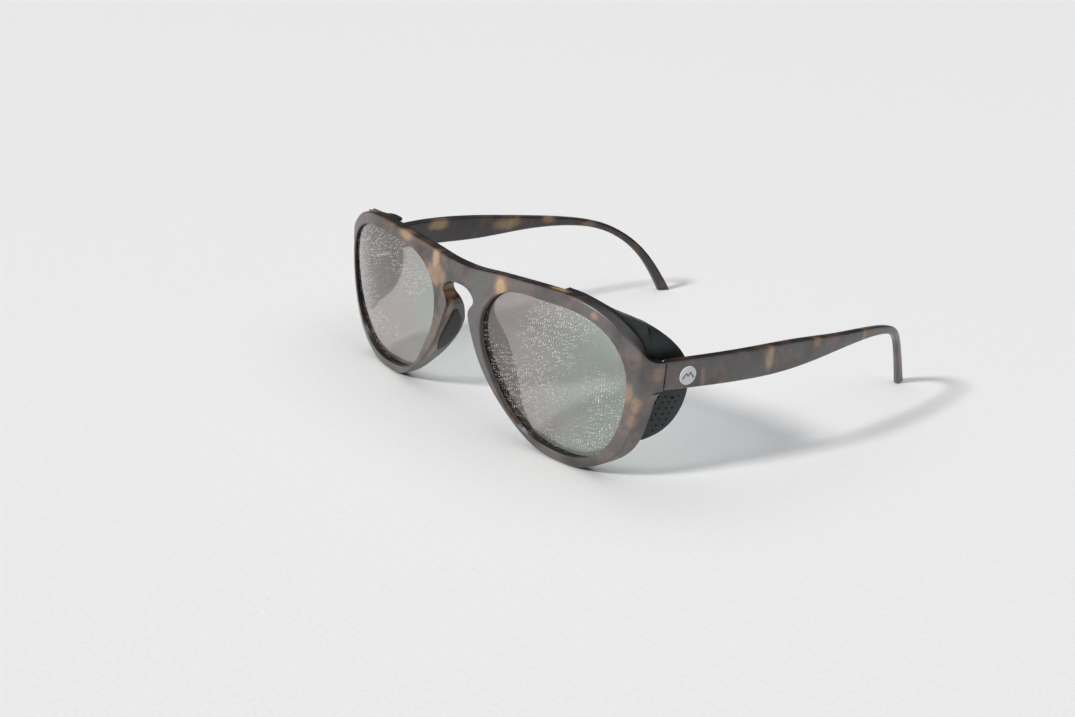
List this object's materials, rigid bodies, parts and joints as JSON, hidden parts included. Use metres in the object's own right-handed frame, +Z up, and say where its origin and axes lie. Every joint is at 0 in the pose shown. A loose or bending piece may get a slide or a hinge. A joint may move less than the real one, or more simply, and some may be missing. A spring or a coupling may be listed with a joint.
{
  "type": "glacier glasses",
  "caption": "Keyhole-bridge sunglasses for snow and high mountains, with hinged temples, tinted lenses and clip-on perforated side shields that fold in with the temples.",
  "frame": {"origin": "centre of the glasses' plan, on the level floor that the rims and temple tips stand on", "axes": "-Y the way the wearer looks, +X the wearer's left, +Z up"},
  "size_m": [0.1432, 0.1492, 0.0491],
  "materials": {
    "tortoise": "matte dark tortoise",
    "lens": "green-grey sun tint with a thin mirror coat",
    "nose_pad": "matte",
    "temple_disc": "satin white",
    "hinge": "brushed",
    "magnet": "plated",
    "shield": "matte black, flexible"
  },
  "bodies": {
    "frame": {"frame_front": "tortoise", "lens_left": "lens", "nose_pad_left": "nose_pad", "hinge_front_leaf_left": "hinge", "hinge_screw_left": "hinge", "frame_magnet_1_left": "magnet", "frame_magnet_2_left": "magnet", "lens_right": "lens", "nose_pad_right": "nose_pad", "hinge_front_leaf_right": "hinge", "hinge_screw_right": "hinge", "frame_magnet_1_right": "magnet", "frame_magnet_2_right": "magnet"},
    "temple_left": {"temple_left": "tortoise", "temple_disc_left": "temple_disc", "hinge_temple_leaf_left": "hinge"},
    "shield_left": {"shield_rail_left": "shield", "shield_magnet_1_left": "magnet", "shield_magnet_2_left": "magnet"},
    "wing_left": {"shield_wing_left": "shield"},
    "temple_right": {"temple_right": "tortoise", "temple_disc_right": "temple_disc", "hinge_temple_leaf_right": "hinge"},
    "shield_right": {"shield_rail_right": "shield", "shield_magnet_1_right": "magnet", "shield_magnet_2_right": "magnet"},
    "wing_right": {"shield_wing_right": "shield"}
  },
  "joints": [
    {"name": "temple_left_fold", "type": "hinge", "parent": "frame", "child": "temple_left", "pos_m": [0.0636, -0.0593, 0.0324], "axis": [0, 0, 1], "range_deg": [0, 84]},
    {"name": "temple_right_fold", "type": "hinge", "parent": "frame", "child": "temple_right", "pos_m": [-0.0636, -0.0593, 0.0324], "axis": [0, 0, -1], "range_deg": [0, 74]},
    {"name": "shield_left_pull", "type": "slide", "parent": "frame", "child": "shield_left", "axis": [0, 1, 0], "range_m": [0, 0.045]},
    {"name": "shield_right_pull", "type": "slide", "parent": "frame", "child": "shield_right", "axis": [0, 1, 0], "range_m": [0, 0.045]},
    {"name": "wing_left_fold", "type": "hinge", "parent": "shield_left", "child": "wing_left", "pos_m": [0.0618, -0.0598, 0.029], "axis": [0, -0.0718, 0.9974], "range_deg": [0, 84]},
    {"name": "wing_right_fold", "type": "hinge", "parent": "shield_right", "child": "wing_right", "pos_m": [-0.0618, -0.0598, 0.029], "axis": [0, 0.0718, -0.9974], "range_deg": [0, 74]}
  ],
  "couplings": [
    {"joint": "wing_left_fold", "follows": "temple_left_fold", "ratio": 1},
    {"joint": "wing_right_fold", "follows": "temple_right_fold", "ratio": 1}
  ]
}
